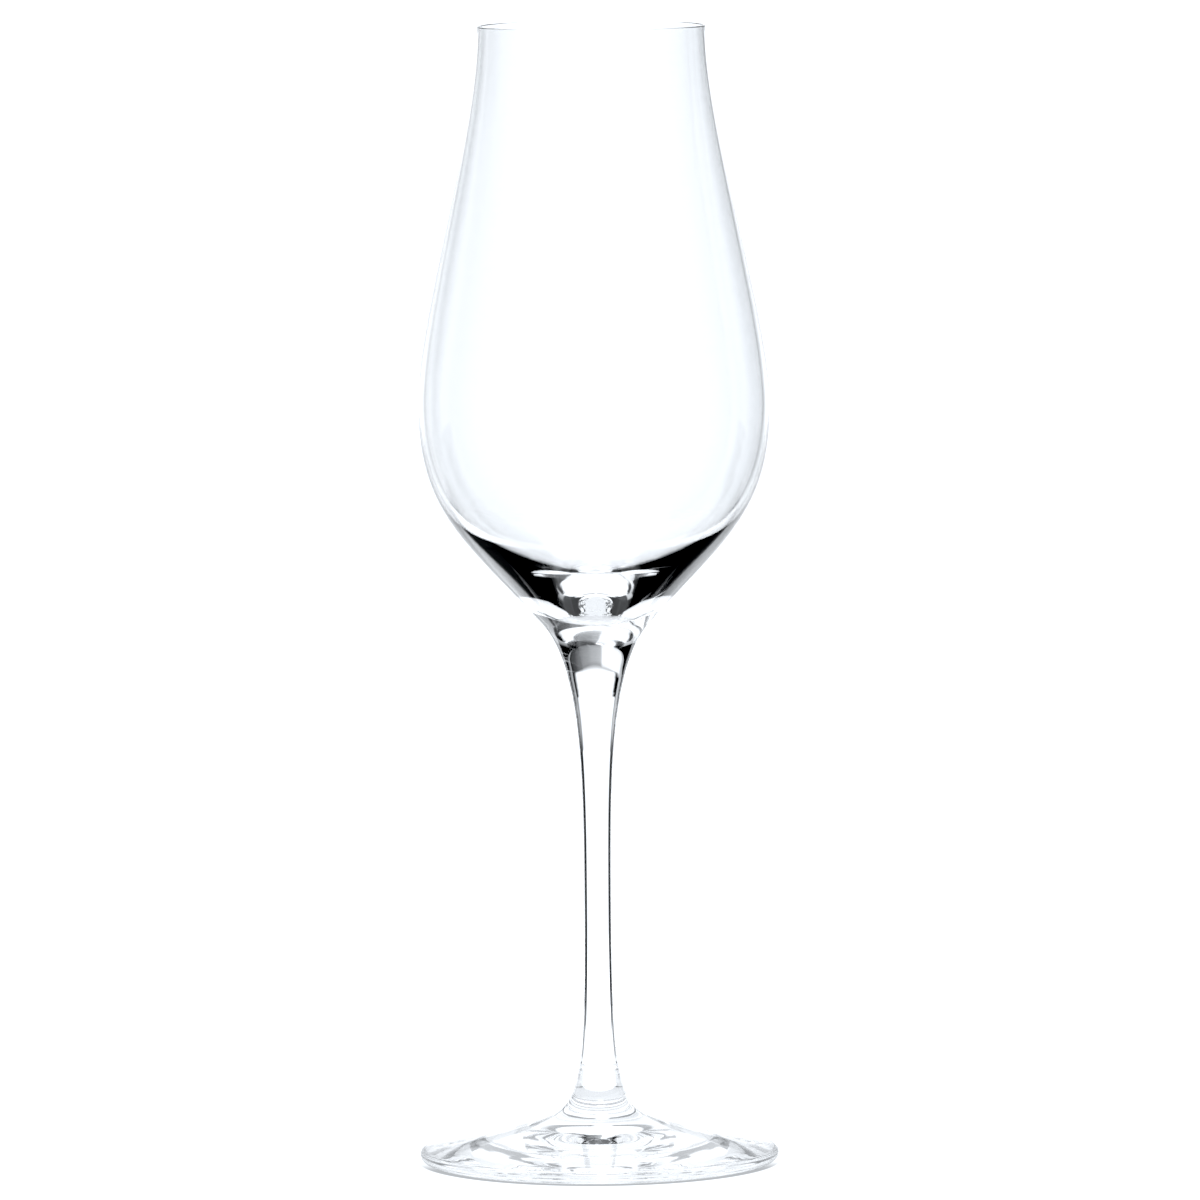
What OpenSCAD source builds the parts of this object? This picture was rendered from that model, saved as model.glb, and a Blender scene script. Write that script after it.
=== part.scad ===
// Dessert wine glass: a blown tulip bowl, a drawn stem and a pressed foot, fused end to end.
// Millimetres, +Z up, the foot stands on z = 0 and the axis of the glass is the Z axis.

/* [Overall] */
// Height from the table to the rim
height = 210; // [202:1:220]

/* [Bowl] */
// Outer diameter at the rim
rim_d = 42; // [38:0.5:46]
// Largest outer diameter, at the belly
bowl_d = 64.8; // [61:0.2:68.6]
// Height of the belly above the table
belly_z = 140.5; // [138:0.5:144]
// Wall thickness at the rim
rim_wall = 0.5; // [0.4:0.05:0.8]
// Wall thickness at the belly
belly_wall = 1.3; // [1.1:0.1:1.6]
// Solid glass on the axis between the stem joint and the bottom of the well
base_t = 5; // [4.5:0.25:6]
// Radius of the rounded bottom of the well
well_tip_r = 10; // [8:0.5:12]
// Slope of the well's side just above that rounding, from the horizontal
well_angle = 36; // [34:0.5:38]

/* [Stem] */
// Diameter of the stem's flared head, where the bowl is fused on
head_d = 20.2; // [19:0.2:22]
// Height of the head's edge above the table
head_z = 100; // [98:0.5:102]
// Slope of the outside at the head, from the horizontal
head_angle = 47.5; // [45:0.5:50]
// Diameter of the stem at its waist
waist_d = 4.9; // [4.2:0.1:7]
// Height of the waist above the table
waist_z = 48; // [42:1:54]
// Diameter at the joint between stem and foot
button_d = 9.9; // [9:0.1:12]
// Height of that joint above the table
button_z = 12.4; // [11.4:0.2:13.4]
// Slope of the outside at that joint, from the horizontal
button_angle = 69; // [62:1:76]

/* [Foot] */
// Diameter of the foot
foot_d = 66.4; // [62:0.2:72]
// Thickness of the foot at its rounded edge
edge_t = 2.4; // [2:0.1:3]
// Slope of the top where it meets the edge, from the horizontal
edge_angle = 12; // [9:0.5:13]
// Diameter of the hollow underneath
hollow_d = 40; // [34:1:46]
// Depth of that hollow on the axis
hollow_depth = 1.8; // [1:0.1:2.5]

/* [Hidden] */
// Straight steps that stand for one curve
steps = 14;
// Steps round the rim and round the foot's edge
round_steps = 8;
// Two points closer than this are one
same_point = 0.001;
$fn = 96;

rim_r = rim_d / 2;
belly_r = bowl_d / 2;
head_r = head_d / 2;
waist_r = waist_d / 2;
button_r = button_d / 2;
edge_r = edge_t / 2;
foot_flat_r = foot_d / 2 - edge_r;
hollow_r = hollow_d / 2;

// How far each curve keeps the direction that it starts or ends with
rim_pull = 0.27 * (height - belly_z);
belly_lift = 0.225 * (height - belly_z);
belly_drop = 0.485 * (belly_z - head_z);
head_lift = 0.53 * (belly_z - head_z);
head_drop = 0.21 * (head_z - waist_z);
waist_lift = 0.475 * (head_z - waist_z);
waist_drop = 0.58 * (waist_z - button_z);
button_lift = 0.16 * (waist_z - button_z);
button_drop = 0.49 * button_z;
edge_pull = 0.61 * foot_flat_r;
well_drop = 0.59 * (belly_z - head_z);
well_pull = 0.35 * belly_r;
mouth_pull = 0.245 * (height - belly_z);

// The joints are shallow domes: the bowl sinks into the head and the stem into the foot
head_sag = 0.2 * head_r;
button_sag = 0.2 * button_r;
well_z = head_z - head_sag + base_t;
rim_round_z = height - rim_wall / 2;
rim_in_r = rim_r - rim_wall;
belly_in_r = belly_r - belly_wall;

// A unit step in the section plane, raised by an angle from the horizontal
function heading(angle) = [cos(angle), sin(angle)];

// Points of a cubic curve from a to d, drawn towards b and c
function curve(a, b, c, d) = [
    for (i = [0 : steps])
        let (t = i / steps, s = 1 - t)
            s * s * s * a + 3 * s * s * t * b + 3 * s * t * t * c + t * t * t * d
];

// Points of an arc about a centre
function arc(centre, radius, from, to) = [
    for (i = [0 : round_steps])
        centre + radius * heading(from + (to - from) * i / round_steps)
];

// Points of a shallow dome, from the axis out to its edge at radius r and height z
function dome(r, z, sag) = [
    for (i = [0 : round_steps])
        let (x = i / round_steps)
            [r * x, z - sag * (1 - x * x)]
];

function reversed(points) = [for (i = [len(points) - 1 : -1 : 0]) points[i]];

// One outline from several runs of points, with a point that two runs share kept once
function outline(runs) =
    let (points = [for (run = runs) each run])
        [
            for (i = [0 : len(points) - 1])
                if (i == 0 || norm(points[i] - points[i - 1]) > same_point)
                    points[i]
        ];

rim_point = [rim_r, rim_round_z];
belly_point = [belly_r, belly_z];
head_point = [head_r, head_z];
waist_point = [waist_r, waist_z];
button_point = [button_r, button_z];
edge_point = [foot_flat_r, edge_r] + edge_r * heading(90 - edge_angle);
well_centre = [0, well_z + well_tip_r];
well_point = well_centre + well_tip_r * heading(well_angle - 90);

// Outside of the glass, from the rim down to the edge of the foot
function bowl_upper() = curve(
    rim_point,
    rim_point - [0, rim_pull],
    belly_point + [0, belly_lift],
    belly_point
);
function bowl_lower() = curve(
    belly_point,
    belly_point - [0, belly_drop],
    head_point + head_lift * heading(head_angle),
    head_point
);
function stem_upper() = curve(
    head_point,
    head_point - head_drop * heading(head_angle),
    waist_point + [0, waist_lift],
    waist_point
);
function stem_lower() = curve(
    waist_point,
    waist_point - [0, waist_drop],
    button_point + button_lift * heading(180 - button_angle),
    button_point
);
function foot_top() = curve(
    button_point,
    button_point + button_drop * heading(-button_angle),
    edge_point + edge_pull * heading(180 - edge_angle),
    edge_point
);

// Inside of the bowl, from the bottom of the well up to the rim
function well_tip() = arc(well_centre, well_tip_r, -90, well_angle - 90);
function well_lower() = curve(
    well_point,
    well_point + well_pull * heading(well_angle),
    [belly_in_r, belly_z - well_drop],
    [belly_in_r, belly_z]
);
function well_upper() = curve(
    [belly_in_r, belly_z],
    [belly_in_r, belly_z + belly_lift],
    [rim_in_r, rim_round_z - mouth_pull],
    [rim_in_r, rim_round_z]
);

// Blown bowl with a fire-polished rim and a thick bottom
module bowl() {
    rim_round = arc([rim_r - rim_wall / 2, rim_round_z], rim_wall / 2, 180, 0);
    color([0.8, 0.88, 0.92, 0.5])
        rotate_extrude()
            polygon(outline([
                well_tip(),
                well_lower(),
                well_upper(),
                rim_round,
                bowl_upper(),
                bowl_lower(),
                reversed(dome(head_r, head_z, head_sag))
            ]));
}

// Drawn stem, flared at both ends
module stem() {
    color([0.7, 0.82, 0.88, 0.6])
        rotate_extrude()
            polygon(outline([
                dome(head_r, head_z, head_sag),
                stem_upper(),
                stem_lower(),
                reversed(dome(button_r, button_z, button_sag))
            ]));
}

// Pressed foot with a rounded edge, a flat ring to stand on and a hollow inside it
module foot() {
    edge_round = arc([foot_flat_r, edge_r], edge_r, 90 - edge_angle, -90);
    color([0.75, 0.86, 0.9, 0.6])
        rotate_extrude()
            polygon(outline([
                dome(button_r, button_z, button_sag),
                foot_top(),
                edge_round,
                reversed(dome(hollow_r, 0, -hollow_depth))
            ]));
}

bowl();
stem();
foot();
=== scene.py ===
# %% [markdown]
# A dessert wine glass looks like one piece of clear glass, but it is made from three hot ones: a bowl that
# is blown, a stem that is drawn out and a foot that is pressed. They are fused end to end while they glow.
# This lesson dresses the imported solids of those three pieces. Each solid is a turned form with flat steps,
# which is fine for a collision, but glass bends light at every step, so each is drawn again as a smooth one.

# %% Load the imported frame
import bpy
import math
from mathutils import Matrix, Vector


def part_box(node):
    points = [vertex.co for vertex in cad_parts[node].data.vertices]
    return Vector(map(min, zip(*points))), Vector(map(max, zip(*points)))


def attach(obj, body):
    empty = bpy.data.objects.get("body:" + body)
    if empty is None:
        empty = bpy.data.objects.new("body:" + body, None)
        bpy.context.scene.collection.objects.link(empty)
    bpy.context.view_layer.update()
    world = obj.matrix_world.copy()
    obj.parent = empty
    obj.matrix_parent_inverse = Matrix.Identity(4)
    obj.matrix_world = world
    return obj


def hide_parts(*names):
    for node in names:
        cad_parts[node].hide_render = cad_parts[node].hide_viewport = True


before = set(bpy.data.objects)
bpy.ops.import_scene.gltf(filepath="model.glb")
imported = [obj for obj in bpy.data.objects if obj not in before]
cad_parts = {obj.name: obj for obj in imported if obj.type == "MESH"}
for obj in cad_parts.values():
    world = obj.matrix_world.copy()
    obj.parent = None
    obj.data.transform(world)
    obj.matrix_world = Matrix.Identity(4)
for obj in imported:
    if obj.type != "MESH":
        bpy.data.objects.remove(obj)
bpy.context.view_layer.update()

# %% [markdown]
# The sizes come from the solids. A box gives the heights and the widest places, and a girth is read off the
# points of a solid at one height. What a box can't show, such as a wall or a slope, is a named value here.
# All of it is in millimetres, because that is how a glassmaker speaks, and one helper turns it into metres.

# %% Read the sizes of the glass
MM = 0.001
same_height = 0.02


def box_mm(node):
    low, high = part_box(node)
    return low / MM, high / MM


def girth(node, height):
    """Radius of a solid's outside at a height, read off its own points."""
    points = [v.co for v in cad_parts[node].data.vertices]
    ring = [co for co in points if abs(co.z / MM - height) < same_height]
    return max(math.hypot(co.x, co.y) for co in ring) / MM


bowl_top = box_mm("bowl")[1]
stem_top = box_mm("stem")[1]
foot_top = box_mm("foot")[1]

rim_wall = 0.5
belly_wall = 1.3
belly_z = 140.5
waist_z = 48.0
rim_z = bowl_top.z - rim_wall / 2
head_z = stem_top.z
joint_z = foot_top.z

rim_r = girth("bowl", rim_z)
belly_r = bowl_top.x
head_r = stem_top.x
waist_r = girth("stem", waist_z)
joint_r = girth("foot", joint_z)
foot_r = foot_top.x
print("radii: rim %.2f belly %.2f head %.2f waist %.2f joint %.2f foot %.2f mm"
      % (rim_r, belly_r, head_r, waist_r, joint_r, foot_r))

# %% [markdown]
# A turned piece is one half-section swung round an axis, so the section is where the work is. It could be
# a chain of extruded points, but a Bezier curve is smooth at any zoom and has only a few points to place.
# Each span below is four points: where it starts, where it heads, where it comes from and where it ends.

# %% Helpers for the spans of a section
def at(radius, height):
    return Vector((radius, height))


def heading(angle):
    """One step in the section's plane, raised by an angle from the level."""
    return at(math.cos(math.radians(angle)), math.sin(math.radians(angle)))


def arc_span(centre, radius, start, stop):
    reach = 4 / 3 * math.tan(math.radians(stop - start) / 4) * radius
    first = centre + radius * heading(start)
    last = centre + radius * heading(stop)
    return first, first + reach * heading(start + 90), last - reach * heading(stop + 90), last


def dome_span(radius, height, sag):
    """A shallow dome from the axis out to its edge, which hangs down by the sag."""
    first, last = at(0, height - sag), at(radius, height)
    pull = at(radius / 2, height - sag)
    return first, first.lerp(pull, 2 / 3), last.lerp(pull, 2 / 3), last


def straight_span(first, last):
    return first, first.lerp(last, 1 / 3), first.lerp(last, 2 / 3), last


def turned_round(span):
    return tuple(reversed(span))


# %% [markdown]
# The section is drawn with the curve tools: a Bezier curve is added, gets its points and handles, and is
# cut finer where rings will be pulled into it. Converting it gives a chain of edges in the plane y = 0.
# Subdividing a Bezier span keeps its shape exactly, which subdividing straight edges later would not.

# %% Draw a section
def place_points(points, spans):
    ends = [spans[0][0]] + [span[3] for span in spans]
    before = [spans[0][0]] + [span[2] for span in spans]
    after = [span[1] for span in spans] + [spans[-1][3]]
    for point, here, back, ahead in zip(points, ends, before, after):
        point.handle_left_type = point.handle_right_type = "FREE"
        point.co = (here.x * MM, 0, here.y * MM)
        point.handle_left = (back.x * MM, 0, back.y * MM)
        point.handle_right = (ahead.x * MM, 0, ahead.y * MM)


def draw_section(name, spans, steps, cuts):
    """Edge chain of a half-section. cuts says how often a span is cut before it becomes steps."""
    bpy.ops.object.select_all(action="DESELECT")
    bpy.ops.curve.primitive_bezier_curve_add(location=(0, 0, 0))
    section = bpy.context.object
    section.name = name
    section.data.dimensions = "3D"
    section.data.resolution_u = steps
    points = section.data.splines[0].bezier_points
    points.add(len(spans) - 1)
    place_points(points, spans)
    bpy.ops.object.mode_set(mode="EDIT")
    for span in sorted(cuts, reverse=True):
        for i, point in enumerate(section.data.splines[0].bezier_points):
            chosen = i in (span, span + 1)
            point.select_control_point = chosen
            point.select_left_handle = point.select_right_handle = chosen
        bpy.ops.curve.subdivide(number_cuts=cuts[span])
    bpy.ops.object.mode_set(mode="OBJECT")
    bpy.ops.object.convert(target="MESH")
    section = bpy.context.object
    print(name, "section:", len(section.data.vertices), "points")
    return section


# %% [markdown]
# Tools leave rings on hot glass. By hand such a ring is pulled out of the section with proportional editing:
# one point moves and its neighbours follow less and less. The size of that circle is half the ring's width.

# %% Pull a ring into a section
def pull_ring(section, near, shift, reach):
    """Moves the section's point nearest to a place, and what lies within reach of it along the chain."""
    place = Vector((near.x * MM, 0, near.y * MM))
    bpy.ops.object.mode_set(mode="EDIT")
    bpy.ops.mesh.select_mode(type="VERT")
    bpy.ops.mesh.select_all(action="DESELECT")
    bpy.ops.object.mode_set(mode="OBJECT")
    crest = min(section.data.vertices, key=lambda v: (v.co - place).length)
    crest.select = True
    bpy.ops.object.mode_set(mode="EDIT")
    bpy.ops.transform.translate(
        value=(shift.x * MM, 0, shift.y * MM),
        use_proportional_edit=True,
        use_proportional_connected=True,
        proportional_edit_falloff="SMOOTH",
        proportional_size=reach * MM,
    )
    bpy.ops.object.mode_set(mode="OBJECT")


# %% [markdown]
# Spinning the section gives the whole piece. A full turn leaves a double seam, and a point on the axis is
# left once for every step, so the doubles are merged and the normals are turned outwards after that.
# The gap between the new piece and its solid is measured, so that a slip in a span can't go unseen.

# %% Spin a section into a piece
merge_within = 1e-7
smooth_below = 20
sample_every = 7


def spin_piece(section, turns):
    bpy.ops.object.mode_set(mode="EDIT")
    bpy.ops.mesh.select_all(action="SELECT")
    bpy.ops.mesh.spin(steps=turns, angle=2 * math.pi, center=(0, 0, 0), axis=(0, 0, 1))
    bpy.ops.mesh.select_all(action="SELECT")
    bpy.ops.mesh.remove_doubles(threshold=merge_within)
    bpy.ops.mesh.normals_make_consistent(inside=False)
    bpy.ops.object.mode_set(mode="OBJECT")
    bpy.ops.object.shade_smooth_by_angle(angle=math.radians(smooth_below))


def report_piece(piece, node):
    """Prints the furthest that a sampled point of the solid lies from the new piece."""
    bpy.context.view_layer.update()
    samples = [v.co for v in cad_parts[node].data.vertices][::sample_every]
    gap = max((piece.closest_point_on_mesh(co)[1] - co).length for co in samples) / MM
    print("%s: %d faces, %.3f mm from its solid" % (node, len(piece.data.polygons), gap))


# %% [markdown]
# The bowl is a tulip: widest below the middle, drawn in to a narrow mouth so that the scent stays inside.
# Its wall is thin at the rim and grows towards the bottom, and the inside ends in a rounded cone, because
# the stem pulled the soft bottom down as it was drawn. That cone makes the dark bands under the wine.

# %% The half-section of the bowl
rim_pull = 0.27 * (bowl_top.z - belly_z)
mouth_pull = 0.245 * (bowl_top.z - belly_z)
belly_lift = 0.225 * (bowl_top.z - belly_z)
belly_drop = 0.485 * (belly_z - head_z)
head_lift = 0.53 * (belly_z - head_z)
head_slope = 47.5
head_sag = 0.2 * head_r

base_thickness = 5.0
well_tip_r = 10.0
well_slope = 36.0
well_pull = 0.35 * belly_r
well_drop = 0.59 * (belly_z - head_z)
well_z = head_z - head_sag + base_thickness

rim, belly, head = at(rim_r, rim_z), at(belly_r, belly_z), at(head_r, head_z)
rim_middle = at(rim_r - rim_wall / 2, rim_z)
rim_inside = at(rim_r - rim_wall, rim_z)
belly_inside = at(belly_r - belly_wall, belly_z)
well_middle = at(0, well_z + well_tip_r)
well_side = well_middle + well_tip_r * heading(well_slope - 90)

bowl_spans = [
    arc_span(well_middle, well_tip_r, -90, well_slope - 90),
    (well_side, well_side + well_pull * heading(well_slope), belly_inside - at(0, well_drop), belly_inside),
    (belly_inside, belly_inside + at(0, belly_lift), rim_inside - at(0, mouth_pull), rim_inside),
    arc_span(rim_middle, rim_wall / 2, 180, 90),
    arc_span(rim_middle, rim_wall / 2, 90, 0),
    (rim, rim - at(0, rim_pull), belly + at(0, belly_lift), belly),
    (belly, belly - at(0, belly_drop), head + head_lift * heading(head_slope), head),
    turned_round(dome_span(head_r, head_z, head_sag)),
]
print("bowl:", len(bowl_spans), "spans, the well's bottom is at", round(well_z, 2), "mm")

# %% [markdown]
# A low ridge runs round a spot in the bottom of the well. It could be cut into the finished bowl, but in the
# section it is a single point to move, and the spin carries it all the way round.

# %% Make the bowl
bowl_turns = 192
spot_r = 5.0
ridge_height, ridge_reach = 0.02, 0.45

bowl = draw_section("blown_bowl", bowl_spans, steps=28, cuts={0: 1, 1: 1, 6: 1})
spot_edge = well_middle + well_tip_r * heading(-90 + math.degrees(spot_r / well_tip_r))
pull_ring(bowl, spot_edge, at(0, ridge_height), reach=ridge_reach)
spin_piece(bowl, bowl_turns)
report_piece(bowl, "bowl")

# %% [markdown]
# The stem is drawn out of the soft glass under the bowl and flares at both ends. Its section has one long
# span from the head to the waist and one from the waist to the foot, and it ends in the domes of the joints.

# %% The half-section of the stem
head_drop = 0.21 * (head_z - waist_z)
waist_lift = 0.475 * (head_z - waist_z)
waist_drop = 0.58 * (waist_z - joint_z)
joint_lift = 0.16 * (waist_z - joint_z)
joint_slope = 69.0
joint_sag = 0.2 * joint_r

waist, joint = at(waist_r, waist_z), at(joint_r, joint_z)
stem_spans = [
    dome_span(head_r, head_z, head_sag),
    (head, head - head_drop * heading(head_slope), waist + at(0, waist_lift), waist),
    (waist, waist - at(0, waist_drop), joint + joint_lift * heading(180 - joint_slope), joint),
    turned_round(dome_span(joint_r, joint_z, joint_sag)),
]
print("stem:", len(stem_spans), "spans, from", round(joint_z, 2), "to", round(head_z, 2), "mm")

# %% [markdown]
# The tool that held the hot neck left soft bulges and finer rings on it, and a faint line runs round the stem
# just above the foot. A bump in the material could hint at them, but they are real shapes here, because the
# way that they bend the light is what makes the neck look like glass.

# %% Make the stem
stem_turns = 160
off_axis = 1.5
bulges, bulge_reach = {93.2: 0.025, 88.7: 0.03, 84.3: 0.025}, 2.3
tool_rings = [(90.6 - 1.25 * i, 0.010 - 0.001 * i) for i in range(7)]
tool_ring_reach = 0.62
joint_line_z, joint_line_depth, joint_line_reach = 17.1, 0.06, 0.35

stem = draw_section("drawn_stem", stem_spans, steps=36, cuts={1: 5, 2: 2})


def outside_of_stem(height):
    ring = [v.co for v in stem.data.vertices if v.co.x > off_axis * MM]
    nearest = min(ring, key=lambda co: abs(co.z - height * MM))
    return at(nearest.x, nearest.z) / MM


for height, depth in bulges.items():
    pull_ring(stem, outside_of_stem(height), at(depth, 0), bulge_reach)
for height, depth in tool_rings:
    pull_ring(stem, outside_of_stem(height), at(depth, 0), tool_ring_reach)
pull_ring(stem, outside_of_stem(joint_line_z), at(-joint_line_depth, 0), joint_line_reach)
spin_piece(stem, stem_turns)
report_piece(stem, "stem")

# %% [markdown]
# The two halves of the mould that shaped the neck left a seam down each side. It is one column of points
# on the finished mesh, fattened along its normals by a few hundredths of a millimetre.

# %% Raise the mould seams on the neck
seam_turn, seam_low, seam_high, seam_height = -115.0, 62.0, 98.0, 0.03
half_column = 360 / stem_turns / 2


def turn_from(co, angle):
    return abs((math.degrees(math.atan2(co.y, co.x)) - angle + 180) % 360 - 180)


def on_seam(co):
    aside = min(turn_from(co, seam_turn), turn_from(co, seam_turn + 180))
    on_neck = seam_low * MM < co.z < seam_high * MM
    return aside <= half_column and on_neck and co.xy.length > off_axis * MM


bpy.ops.object.mode_set(mode="EDIT")
bpy.ops.mesh.select_all(action="DESELECT")
bpy.ops.object.mode_set(mode="OBJECT")
for v in stem.data.vertices:
    v.select = on_seam(v.co)
print("seam points:", sum(v.select for v in stem.data.vertices))
bpy.ops.object.mode_set(mode="EDIT")
bpy.ops.transform.shrink_fatten(value=seam_height * MM)
bpy.ops.object.mode_set(mode="OBJECT")

# %% [markdown]
# The foot is pressed to a rounded edge and has a shallow hollow underneath, so that it stands on the flat
# ring between the two and can't rock. Its top rises to the joint in one span, which is steep only near it.

# %% The half-section of the foot
edge_r = 1.2
edge_slope = 12.0
hollow_r, hollow_depth = 20.0, 1.8
flat_r = foot_r - edge_r
joint_drop = 0.49 * joint_z
edge_pull = 0.61 * flat_r
edge_middle = at(flat_r, edge_r)
edge = edge_middle + edge_r * heading(90 - edge_slope)

foot_spans = [
    dome_span(joint_r, joint_z, joint_sag),
    (joint, joint + joint_drop * heading(-joint_slope), edge + edge_pull * heading(180 - edge_slope), edge),
    arc_span(edge_middle, edge_r, 90 - edge_slope, 0),
    arc_span(edge_middle, edge_r, 0, -90),
    straight_span(at(flat_r, 0), at(hollow_r, 0)),
    turned_round(dome_span(hollow_r, 0, -hollow_depth)),
]
print("foot:", len(foot_spans), "spans, it stands on a ring", round(flat_r - hollow_r, 2), "mm wide")

# %% [markdown]
# The foot was spun while it was soft, so fine rings run round its top and round the roof of the hollow. They
# are only thousandths of a millimetre high, but they break the light on the foot into arcs.

# %% Make the foot
foot_turns = 192
top_rings, first_ring, ring_gap, ring_reach = 11, 12.5, 1.6, 1.2
ring_heights = (0.003, 0.004, 0.005)
hollow_rings, hollow_ring_height, hollow_ring_reach = (9.0, 12.5, 16.0), 0.012, 1.4
above_edge = 0.2

foot = draw_section("pressed_foot", foot_spans, steps=32, cuts={1: 5, 5: 1})


def top_of_foot(radius):
    lowest, inmost = (edge_r + above_edge) * MM, joint_r * MM
    upper = [v.co for v in foot.data.vertices if v.co.z > lowest and v.co.x > inmost]
    nearest = min(upper, key=lambda co: abs(co.x - radius * MM))
    return at(nearest.x, nearest.z) / MM


def roof_of_hollow(radius):
    return at(radius, hollow_depth * (1 - (radius / hollow_r) ** 2))


for i in range(top_rings):
    ring_height = ring_heights[i % len(ring_heights)]
    pull_ring(foot, top_of_foot(first_ring + ring_gap * i), at(0, ring_height), ring_reach)
for radius in hollow_rings:
    pull_ring(foot, roof_of_hollow(radius), at(0, hollow_ring_height), hollow_ring_reach)
spin_piece(foot, foot_turns)
report_piece(foot, "foot")

# %% [markdown]
# Clear glass is a Principled shader with full transmission. Real glass is never quite even: it is faintly
# wavy from the mould, wiping leaves the lightest veil on it and it has a trace of cool colour. Noise on
# Object coordinates gives all three, and what is the same all over stays on the shader's own sockets.

# %% Helpers for the glass
glass_ior = 1.51


def new_material(name):
    material = bpy.data.materials.new(name)
    material.use_nodes = True
    nodes = material.node_tree.nodes
    return material, nodes, material.node_tree.links, nodes["Principled BSDF"]


def noise_on_object(nodes, links, scale, detail):
    place = nodes.new("ShaderNodeTexCoord")
    noise = nodes.new("ShaderNodeTexNoise")
    noise.inputs["Scale"].default_value = scale
    noise.inputs["Detail"].default_value = detail
    links.new(place.outputs["Object"], noise.inputs["Vector"])
    return noise.outputs["Fac"]


def ramp_between(nodes, links, value, low, high, first, last):
    """Goes from the first to the last number as the value goes from low to high."""
    span = nodes.new("ShaderNodeMapRange")
    span.inputs["From Min"].default_value = low
    span.inputs["From Max"].default_value = high
    span.inputs["To Min"].default_value = first
    span.inputs["To Max"].default_value = last
    links.new(value, span.inputs["Value"])
    return span.outputs["Result"]


def relief(nodes, links, shader, height, strength, distance):
    bump = nodes.new("ShaderNodeBump")
    bump.inputs["Strength"].default_value = strength
    bump.inputs["Distance"].default_value = distance
    links.new(height, bump.inputs["Height"])
    links.new(bump.outputs["Normal"], shader.inputs["Normal"])


# %% The clear glass
cool_tint, pale_tint = (0.985, 0.993, 1.0, 1), (0.995, 0.998, 1.0, 1)

clear_glass, nodes, links, shader = new_material("clear_glass")
shader.inputs["Transmission Weight"].default_value = 1.0
shader.inputs["IOR"].default_value = glass_ior
tint = nodes.new("ShaderNodeMix")
tint.data_type = "RGBA"
tint.inputs["A"].default_value = cool_tint
tint.inputs["B"].default_value = pale_tint
links.new(noise_on_object(nodes, links, scale=30, detail=2), tint.inputs["Factor"])
links.new(tint.outputs["Result"], shader.inputs["Base Color"])
wiped = noise_on_object(nodes, links, scale=90, detail=4)
veil = ramp_between(nodes, links, wiped, low=0.62, high=0.8, first=0.0, last=0.02)
links.new(veil, shader.inputs["Roughness"])
waves = noise_on_object(nodes, links, scale=70, detail=1)
relief(nodes, links, shader, waves, strength=0.05, distance=0.00003)
print("clear glass:", len(nodes), "nodes")

# %% [markdown]
# The bottom of the well carries a small round spot that is matt to the touch. Frosted glass is the same
# glass with a rough skin, so only its roughness and a fine grain differ.

# %% The frosted spot
frosted_glass, nodes, links, shader = new_material("frosted_glass")
shader.inputs["Transmission Weight"].default_value = 1.0
shader.inputs["IOR"].default_value = glass_ior
shader.inputs["Base Color"].default_value = (0.98, 0.99, 1.0, 1)
grain = noise_on_object(nodes, links, scale=2600, detail=3)
matt = ramp_between(nodes, links, grain, low=0.3, high=0.7, first=0.25, last=0.55)
links.new(matt, shader.inputs["Roughness"])
relief(nodes, links, shader, grain, strength=0.4, distance=0.00004)
print("frosted glass:", len(nodes), "nodes")

# %% [markdown]
# Where two pieces are fused there is no surface left for light to meet. The solids still end there, so the
# faces of a joint get a skin with no opacity: light goes straight through it from one piece to the next.

# %% The skin of a fused joint
fused_skin, nodes, links, shader = new_material("fused_skin")
shader.inputs["Alpha"].default_value = 0.0
print("fused skin: alpha", shader.inputs["Alpha"].default_value)

# %% [markdown]
# Each piece is clear glass all over at first. Then the faces of the joints and of the frosted spot are picked
# by their place and given their own material, as by hand with Assign in edit mode.

# %% Helpers to pick faces
dome_edge, dome_slack = 0.9999, 0.01
spot_low, spot_high = (well_z - 0.1) * MM, (well_z + 2) * MM
frost_r = (spot_r - 0.4) * MM


def on_dome(co, radius, height, sag):
    reach = co.xy.length / (radius * MM)
    return reach < dome_edge and abs(co.z / MM - (height - sag * (1 - reach * reach))) < dome_slack


def at_head(co):
    return on_dome(co, head_r, head_z, head_sag)


def at_joint(co):
    return on_dome(co, joint_r, joint_z, joint_sag)


def at_either_end(co):
    return at_head(co) or at_joint(co)


def in_spot(co):
    return spot_low < co.z < spot_high and co.xy.length < frost_r


def paint_faces(piece, material, test):
    """Gives a material to the faces whose middle passes the test."""
    piece.data.materials.append(material)
    bpy.ops.object.select_all(action="DESELECT")
    piece.select_set(True)
    bpy.context.view_layer.objects.active = piece
    bpy.ops.object.mode_set(mode="EDIT")
    bpy.ops.mesh.select_mode(type="FACE")
    bpy.ops.mesh.select_all(action="DESELECT")
    bpy.ops.object.mode_set(mode="OBJECT")
    for face in piece.data.polygons:
        face.select = test(face.center)
    count = sum(face.select for face in piece.data.polygons)
    bpy.ops.object.mode_set(mode="EDIT")
    piece.active_material_index = len(piece.data.materials) - 1
    bpy.ops.object.material_slot_assign()
    bpy.ops.object.mode_set(mode="OBJECT")
    print(piece.name, material.name, count, "faces")


# %% Dress the pieces
for piece in (bowl, stem, foot):
    piece.data.materials.append(clear_glass)
paint_faces(bowl, fused_skin, at_head)
paint_faces(stem, fused_skin, at_either_end)
paint_faces(foot, fused_skin, at_joint)
paint_faces(bowl, frosted_glass, in_spot)

for piece, node in ((bowl, "bowl"), (stem, "stem"), (foot, "foot")):
    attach(piece, "root")
    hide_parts(node)
    print(piece.name, "stands for", node)

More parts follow.
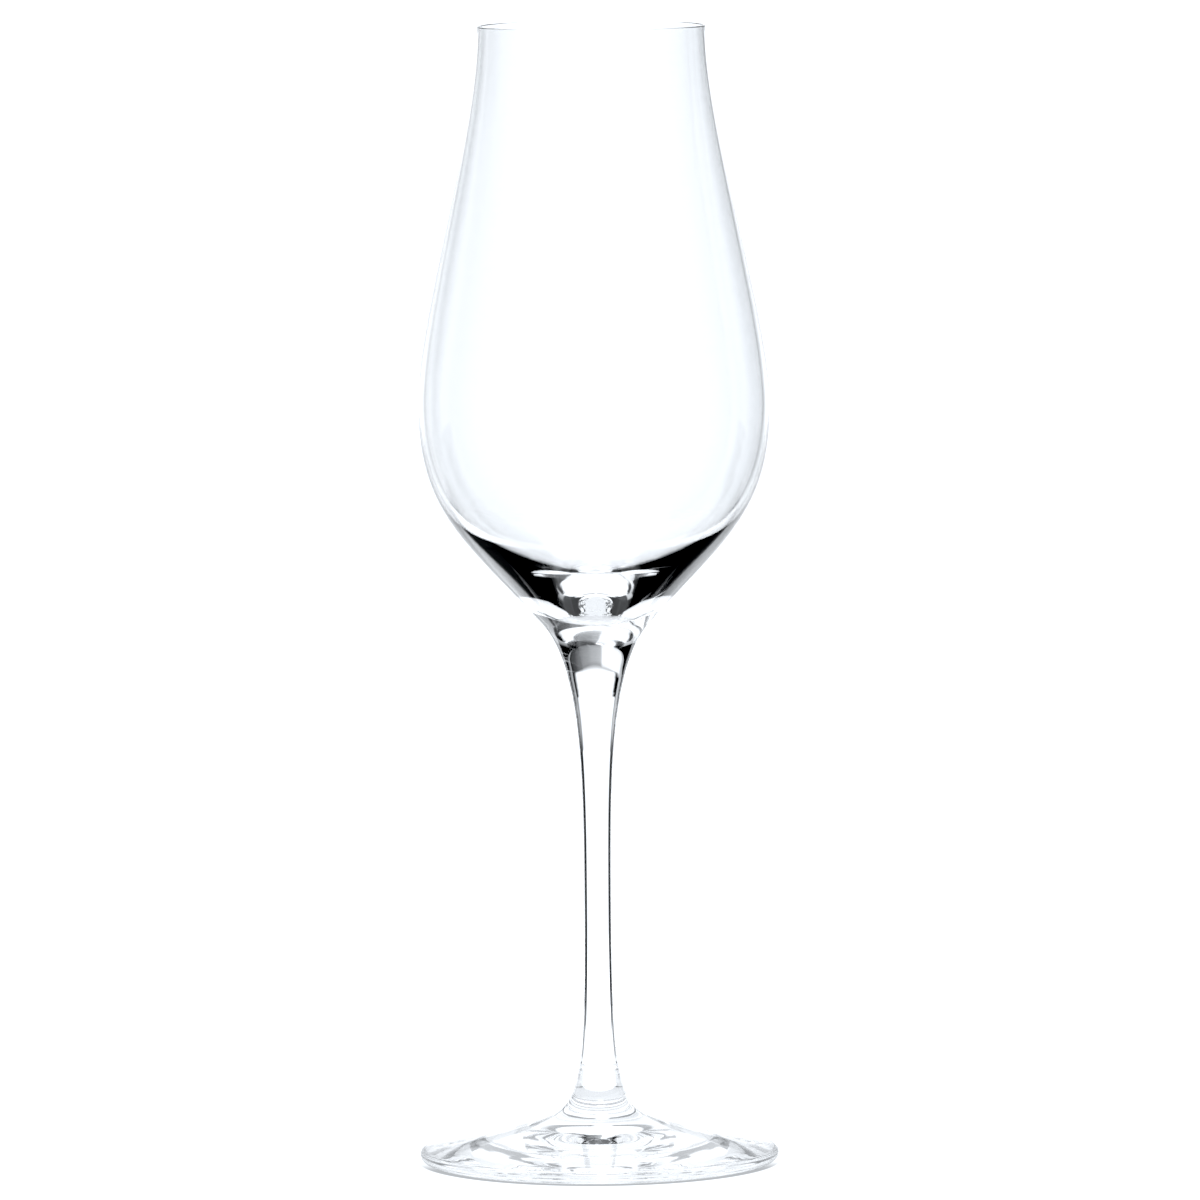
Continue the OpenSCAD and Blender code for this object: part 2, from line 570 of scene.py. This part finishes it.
# %% [markdown]
# Clear glass shows nothing but its surroundings, so the studio draws it. A white ground and a white backdrop
# ahead make the glass bright, and dark sides make its edges dark: this is how glass is photographed so that
# it can be seen at all. Nodes work out how bright each place is, and these helpers keep the sums readable.

# %% Helpers for the studio's light
def calc(tree, operation, first, second=None):
    node = tree.nodes.new("ShaderNodeMath")
    node.operation = operation
    for socket, value in zip(node.inputs, (first, second)):
        if value is None:
            continue
        if isinstance(value, (int, float)):
            socket.default_value = value
        else:
            tree.links.new(value, socket)
    return node.outputs[0]


def times(tree, first, second):
    return calc(tree, "MULTIPLY", first, second)


def brighter(tree, first, second):
    return calc(tree, "MAXIMUM", first, second)


def all_but(tree, share):
    return calc(tree, "SUBTRACT", 1, share)


def fade(tree, value, start, stop):
    """0 before start and 1 after stop, or the other way where stop is the smaller."""
    node = tree.nodes.new("ShaderNodeMapRange")
    node.interpolation_type = "SMOOTHSTEP"
    node.inputs["From Min"].default_value = min(start, stop)
    node.inputs["From Max"].default_value = max(start, stop)
    node.inputs["To Min"].default_value = 0 if start < stop else 1
    node.inputs["To Max"].default_value = 1 if start < stop else 0
    tree.links.new(value, node.inputs["Value"])
    return node.outputs["Result"]


def window(tree, value, low, high, edge):
    """1 between low and high, with soft edges."""
    return times(tree, fade(tree, value, low, low + edge), fade(tree, value, high, high - edge))


def blend(tree, first, last, share):
    node = tree.nodes.new("ShaderNodeMix")
    for socket, value in zip(("Factor", "A", "B"), (share, first, last)):
        tree.links.new(value, node.inputs[socket])
    return node.outputs["Result"]


# %% [markdown]
# On its way to the camera, light is bent or mirrored by the glass several times. The Light Path node counts
# both, so a card in this studio can show itself to some of that light only. A real card can't do that, but it
# keeps the bowl clear: what is seen straight through its two thin walls is white, whatever stands behind it.
# The counts are whole numbers, so each limit lies half-way between two of them.

# %% Sort the light by its path
mirrored, past_both_walls = 0.5, 3.5


def never_mirrored(tree):
    """1 for light that the glass has bent but no surface of it has thrown back."""
    path = tree.nodes.new("ShaderNodeLightPath")
    return calc(tree, "LESS_THAN", path.outputs["Glossy Depth"], mirrored)


def looking_through(tree):
    """1 for a ray from the camera, or for one that only passed through both thin walls of the bowl."""
    path = tree.nodes.new("ShaderNodeLightPath")
    deep = calc(tree, "GREATER_THAN", path.outputs["Transmission Depth"], past_both_walls)
    straight = calc(tree, "LESS_THAN", path.outputs["Glossy Depth"], mirrored)
    return brighter(tree, path.outputs["Is Camera Ray"], times(tree, deep, straight))


# %% [markdown]
# The light changes with the angle to the side of straight ahead. A picture of a studio could hold that, but
# this file reads none, so short tables do: each gives shares of white at a few angles, with right as plus,
# and a colour ramp joins them softly. A ramp stops at 1, so the shares are divided first and scaled up after.

# %% Light by its angle
white, dark, brightest = 1.35, 0.004, 2.2
daylight = (0.92, 0.956, 1.0, 1)


def light_across(tree, side, across):
    """Strength of the light at an angle, or a place, to the side of straight ahead, in shares of white."""
    ramp = tree.nodes.new("ShaderNodeValToRGB")
    ramp.color_ramp.interpolation = "EASE"
    stops = ramp.color_ramp.elements
    stops.remove(stops[1])
    for i, (angle, strength) in enumerate(across.items()):
        stop = stops.new((angle + 180) / 360) if i else stops[0]
        stop.position = (angle + 180) / 360
        stop.color = [strength / brightest] * 3 + [1]
    turn = calc(tree, "DIVIDE", calc(tree, "ADD", side, 180), 360)
    tree.links.new(turn, ramp.inputs["Fac"])
    return times(tree, ramp.outputs["Color"], brightest)


def angle_aside(tree, place):
    """Degrees to the side of straight ahead, for a place or a direction."""
    return calc(tree, "DEGREES", calc(tree, "ARCTAN2", place["X"], place["Y"]))


# %% [markdown]
# The world is the far studio: a white backdrop ahead that is narrower higher up, a lamp above it that is
# strongest on the left, one more lamp high on the left, and a pale room beside and behind the camera. The
# room shows only to light that was never mirrored, so that the bowl's thick bottom stays black.

# %% The backdrop, the lamps and the room
backdrop_across = {-46: 0, -38: 1, 34: 1, 46: 0}
upper_across = {-36: 0, -27: 1, 30: 1, 40: 0}
above_across = {
    -58: 0, -50: 0.5, -40: 1, -9: 1, -5: 0.42, 2: 0.36, 12: 0.24, 22: 0.15, 32: 0.07, 48: 0,
}
room_across = {
    -180: 0.7, -140: 0.65, -100: 0.5, -84: 0.4, -74: 0, 74: 0, 84: 0.4, 100: 0.5, 140: 0.65, 180: 0.7,
}
upper_from, upper_to = 7, 11
lamp_from, lamp_to = 14, 18
left_from, left_to, left_edge = -120, -38, 8
high_from, high_to = 54, 60

world = bpy.data.worlds.new("studio")
bpy.context.scene.world = world
world.use_nodes = True
tree = world.node_tree
sky = tree.nodes["Background"]
towards = tree.nodes.new("ShaderNodeTexCoord")
split = tree.nodes.new("ShaderNodeSeparateXYZ")
tree.links.new(towards.outputs["Generated"], split.inputs[0])
side = angle_aside(tree, split.outputs)
rise = calc(tree, "DEGREES", calc(tree, "ARCSINE", split.outputs["Z"]))

lower, upper = (light_across(tree, side, across) for across in (backdrop_across, upper_across))
backdrop = blend(tree, lower, upper, fade(tree, rise, upper_from, upper_to))
backdrop = times(tree, backdrop, fade(tree, rise, lamp_to, lamp_from))
above = times(tree, light_across(tree, side, above_across), fade(tree, rise, lamp_from, lamp_to))
left_lamp = window(tree, side, left_from, left_to, left_edge)
left_lamp = times(tree, left_lamp, fade(tree, rise, high_from, high_to))
room = times(tree, light_across(tree, side, room_across), never_mirrored(tree))

light = backdrop
for lamp in (above, left_lamp, room, looking_through(tree)):
    light = brighter(tree, light, lamp)
tree.links.new(times(tree, brighter(tree, light, dark), white), sky.inputs["Strength"])
sky.inputs["Color"].default_value = daylight
print("studio:", len(tree.nodes), "nodes")

# %% [markdown]
# The ground is one pale sheet a hair below the foot, as a table is. It could be lit by lamps, but then the
# A sheet that glows by itself has none, as on a table lit from below, so the thin contact shadow at the front
# of the foot is painted on it.

# %% Lay the ground
ground_width, ground_drop = 60, 0.1

bpy.ops.object.select_all(action="DESELECT")
bpy.ops.mesh.primitive_plane_add(size=ground_width, location=(0, 0, 0))
ground = bpy.context.object
ground.name = "pale_ground"
bpy.ops.object.mode_set(mode="EDIT")
bpy.ops.transform.translate(value=(0, 0, -ground_drop * MM))
bpy.ops.object.mode_set(mode="OBJECT")
print("ground:", ground_width, "m wide,", ground_drop, "mm below the foot")

# %% [markdown]
# Paper that glows has an Emission shader in place of the Principled one. Every sheet of the studio is made
# of it, and the place on the sheet is split into X, Y and Z, so that nodes can make its light differ there.

# %% Paper that glows
def glowing_material(name):
    material = bpy.data.materials.new(name)
    material.use_nodes = True
    tree = material.node_tree
    tree.nodes.remove(tree.nodes["Principled BSDF"])
    glow = tree.nodes.new("ShaderNodeEmission")
    glow.inputs["Color"].default_value = daylight
    tree.links.new(glow.outputs[0], tree.nodes["Material Output"].inputs["Surface"])
    place = tree.nodes.new("ShaderNodeTexCoord")
    split = tree.nodes.new("ShaderNodeSeparateXYZ")
    tree.links.new(place.outputs["Object"], split.inputs[0])
    return material, tree, glow, split.outputs


# %% [markdown]
# The camera sees the sheet plain white, with a painted contact shadow, a thin grey line where the front of
# the foot rests on it. Light that the thick glass has bent sees more, from the foot outwards in metres: a
# greyer disc of painted shade under the foot, a white ring, dark ground at both sides, a bright stretch
# ahead, and far off a sheet a little wider than the backdrop, with the pale room round the rest.

# %% The light of the ground
close_across = {-180: 1, -118: 1, -108: 0, -54: 0, -46: 1, 46: 1, 54: 0, 105: 0, 115: 1, 180: 1}
near_across = {-53: 0, -46: 1.8, -10: 1.9, 0: 1.6, 15: 1.4, 30: 1.3, 45: 1.1, 52: 0}
sheet_across = {-66: 0, -58: 0.3, -52: 0.8, -46: 1, 46: 1, 52: 0.8, 60: 0.3, 68: 0}
shade_disc_from, shade_disc_to, shade_disc_share = 0.032, 0.035, 0.75
ring_from, ring_to = 0.045, 0.055
near_from, near_to = 0.1, 0.13
sheet_from, sheet_to = 0.24, 0.34
contact_shadow_from, contact_shadow_to, contact_shadow_edge = 0.031, 0.0341, 0.0008
contact_shadow_front, contact_shadow_depth = -0.014, 0.6

pale_sheet, tree, glow, place = glowing_material("pale_sheet")
side = angle_aside(tree, place)
squares = [times(tree, place[axis], place[axis]) for axis in "XY"]
far = calc(tree, "SQRT", calc(tree, "ADD", *squares))
stretches = (close_across, near_across, sheet_across)
close, near, sheet = (light_across(tree, side, across) for across in stretches)
shine = blend(tree, close, near, fade(tree, far, near_from, near_to))
shine = blend(tree, shine, sheet, fade(tree, far, sheet_from, sheet_to))
room = times(tree, light_across(tree, side, room_across), never_mirrored(tree))
shine = brighter(tree, shine, times(tree, room, fade(tree, far, near_from, near_to)))
shine = brighter(tree, shine, fade(tree, far, ring_to, ring_from))
# Painted shade: the ground under the foot is a quarter darker. Only light bent by the glass sees it, because
# the camera's own rays are made plain white below.
shade_disc = times(tree, fade(tree, far, shade_disc_from, shade_disc_to), 1 - shade_disc_share)
shine = times(tree, shine, calc(tree, "ADD", shade_disc, shade_disc_share))
shine = brighter(tree, shine, looking_through(tree))
# Painted contact shadow: a thin grey ring on the ground just outside the foot's edge, on the camera's side
# only, which the camera sees too.
contact_shadow = window(tree, far, contact_shadow_from, contact_shadow_to, contact_shadow_edge)
contact_shadow = times(tree, contact_shadow, fade(tree, place["Y"], 0, contact_shadow_front))
shine = times(tree, shine, all_but(tree, times(tree, contact_shadow, contact_shadow_depth)))
tree.links.new(times(tree, brighter(tree, shine, dark), white), glow.inputs["Strength"])
ground.data.materials.append(pale_sheet)
print("ground:", len(tree.nodes), "nodes")

# %% [markdown]
# Cards stand close behind the glass, where the camera does not see them. A wall far away would look just as
# high from the foot as from the neck, but a near card stands high for the foot and low for the neck. A card
# is a plane stood on its edge, and its outline is softened in the material by letting light pass.

# %% Helpers for a standing card
def standing_card(name, depth, half, top):
    """An upright sheet behind the glass, which only light that the glass has bent can meet."""
    bpy.ops.object.select_all(action="DESELECT")
    bpy.ops.mesh.primitive_plane_add(size=1, location=(0, 0, 0))
    card = bpy.context.object
    card.name = name
    bpy.ops.object.mode_set(mode="EDIT")
    bpy.ops.transform.resize(value=(2 * half, top, 1))
    bpy.ops.transform.rotate(value=math.radians(90), orient_axis="X", center_override=(0, 0, 0))
    bpy.ops.transform.translate(value=(0, depth, top / 2))
    bpy.ops.object.mode_set(mode="OBJECT")
    card.visible_camera = False
    low, high = ([round(v, 3) for v in card.bound_box[corner]] for corner in (0, 6))
    print(name, "from", low, "to", high)
    return card


def cut_out(tree, glow, share):
    """Leaves the card only where the share is 1 and lets light pass where it is 0."""
    mix = tree.nodes.new("ShaderNodeMixShader")
    clear = tree.nodes.new("ShaderNodeBsdfTransparent")
    tree.links.new(share, mix.inputs["Fac"])
    tree.links.new(clear.outputs[0], mix.inputs[1])
    tree.links.new(glow.outputs[0], mix.inputs[2])
    tree.links.new(mix.outputs[0], tree.nodes["Material Output"].inputs["Surface"])


# %% [markdown]
# The white card brightens the foot and the low part of the stem, and leaves the neck grey above it. A dark
# stripe runs across it low down, open in the middle. It shows only to light that was mirrored, so it shades
# the foot, where light is thrown back by the underside, and not what is seen straight through the stem.

# %% The white card
card_depth, card_half, card_top = 0.06, 0.036, 0.108
card_side_edge, card_top_edge = 0.008, 0.006
stripe_low, stripe_high, stripe_edge, stripe_depth = 14, 27, 4, 0.85
opening_left, opening_right, opening_edge = -4, 2, 1.5

white_card = standing_card("white_card", card_depth, card_half, card_top)
card_paper, tree, glow, place = glowing_material("card_paper")
across, up = (calc(tree, "DIVIDE", place[axis], MM) for axis in "XZ")
stripe = window(tree, up, stripe_low, stripe_high, stripe_edge)
stripe = times(tree, stripe, all_but(tree, never_mirrored(tree)))
opening = window(tree, across, opening_left, opening_right, opening_edge)
stripe = times(tree, stripe, all_but(tree, opening))
shade = all_but(tree, times(tree, stripe, stripe_depth))
tree.links.new(times(tree, shade, white), glow.inputs["Strength"])
width = window(tree, place["X"], -card_half, card_half, card_side_edge)
cut_out(tree, glow, times(tree, width, fade(tree, place["Z"], card_top, card_top - card_top_edge)))
white_card.data.materials.append(card_paper)

# %% [markdown]
# A low collar of paper stands close round the foot, so that the rounded edge has something near to mirror.
# It is an open cylinder: pale at the sides, greyer towards the camera, and almost clear ahead, where the
# white card and the backdrop have to shine through it.

# %% The low collar
collar_r, collar_top, collar_edge, collar_sides = 0.037, 0.022, 0.003, 96
collar_across = {
    -180: 0.5, -130: 0.6, -100: 0.84, -62: 0.84, -42: 1, 42: 1, 62: 0.84, 100: 0.84, 130: 0.6, 180: 0.5,
}
veil_across = {-180: 1, -72: 1, -52: 0.14, 52: 0.14, 72: 1, 180: 1}

bpy.ops.mesh.primitive_cylinder_add(
    vertices=collar_sides,
    radius=collar_r,
    depth=collar_top,
    end_fill_type="NOTHING",
    location=(0, 0, collar_top / 2),
)
collar = bpy.context.object
collar.name = "low_collar"
bpy.ops.object.transform_apply(location=True)
collar.visible_camera = False

collar_paper, tree, glow, place = glowing_material("collar_paper")
side = angle_aside(tree, place)
tree.links.new(times(tree, light_across(tree, side, collar_across), white), glow.inputs["Strength"])
share = times(tree, all_but(tree, looking_through(tree)), light_across(tree, side, veil_across))
cut_out(tree, glow, times(tree, share, fade(tree, place["Z"], collar_top, collar_top - collar_edge)))
collar.data.materials.append(collar_paper)
print("collar:", len(collar.data.polygons), "faces")

# %% [markdown]
# The grey cards at the sides draw the soft line along the bowl's edge. They are one sheet with an opening in
# the middle, which narrows above the belly as the bowl does. Low down they are nearly black. To light that
# was mirrored three times or more they are black all over, which keeps grey wedges out of the thick bottom.

# %% The grey cards
flag_depth, flag_half, flag_top = 0.075, 0.3, 0.24
flag_across = {
    -125: 0, -112: 0.4, -100: 0.52, -85: 0.55, -70: 0.6, 66: 0.5,
    74: 0.46, 82: 0.33, 97: 0.27, 108: 0.16, 122: 0.08, 140: 0,
}
flag_upward = {0: 0.08, 74: 0.08, 88: 1, 145: 1, 157: 1.16, 172: 1.16, 186: 1}
gap_left, gap_right, gap_edge = -74, 73, 10
narrowing, end_from, end_to = 0.009, 220, 240
mirrored_thrice = 2.5

grey_cards = standing_card("grey_cards", flag_depth, flag_half, flag_top)
card_felt, tree, glow, place = glowing_material("card_felt")
across, up = (calc(tree, "DIVIDE", place[axis], MM) for axis in "XZ")
above_belly = calc(tree, "MAXIMUM", calc(tree, "SUBTRACT", up, belly_z), 0)
across = times(tree, across, calc(tree, "ADD", times(tree, above_belly, narrowing), 1))
shade = times(tree, light_across(tree, across, flag_across), light_across(tree, up, flag_upward))
path = tree.nodes.new("ShaderNodeLightPath")
shade = times(tree, shade, calc(tree, "LESS_THAN", path.outputs["Glossy Depth"], mirrored_thrice))
tree.links.new(times(tree, brighter(tree, shade, dark), white), glow.inputs["Strength"])
gap = brighter(tree, window(tree, across, gap_left, gap_right, gap_edge), looking_through(tree))
gap = brighter(tree, gap, fade(tree, up, end_from, end_to))
cut_out(tree, glow, all_but(tree, gap))
grey_cards.data.materials.append(card_felt)
print("grey cards:", len(tree.nodes), "nodes")

# %% [markdown]
# The photograph was taken from about two metres with a long lens, a little above the glass, and the camera
# was rolled by less than half a degree. Those numbers were fitted to the ellipses of the rim and the foot.

# %% The camera
camera_place = (0.00084, -2.042, 0.296)
look_down, roll = 5.37, -0.43

camera_data = bpy.data.cameras.new("long_lens")
camera_data.sensor_width = 36
camera_data.lens = 333.6
camera_data.clip_start, camera_data.clip_end = 0.1, 100
camera = bpy.data.objects.new("camera", camera_data)
bpy.context.scene.collection.objects.link(camera)
camera.location = camera_place
pitched = Matrix.Rotation(math.radians(90 - look_down), 3, "X")
camera.rotation_euler = (pitched @ Matrix.Rotation(math.radians(roll), 3, "Z")).to_euler()
bpy.context.scene.camera = camera
print("camera: %.1f mm lens at %s m, %.2f degrees down" % (camera_data.lens, camera_place, look_down))

# %% [markdown]
# Light crosses many surfaces in the thick glass, so it is allowed many bounces, or they would end in black.
# The Standard view keeps white paper white, and a small black level brings back the depth of the dark bands.

# %% The view
black_level = 0.01
most_bounces = 32

scene = bpy.context.scene
scene.view_settings.view_transform = "Standard"
scene.view_settings.use_curve_mapping = True
scene.view_settings.curve_mapping.black_level = (black_level, black_level, black_level)
scene.cycles.max_bounces = most_bounces
scene.cycles.transmission_bounces = most_bounces
scene.cycles.glossy_bounces = most_bounces
scene.cycles.transparent_max_bounces = most_bounces
print("view:", scene.view_settings.view_transform, "with", most_bounces, "bounces")
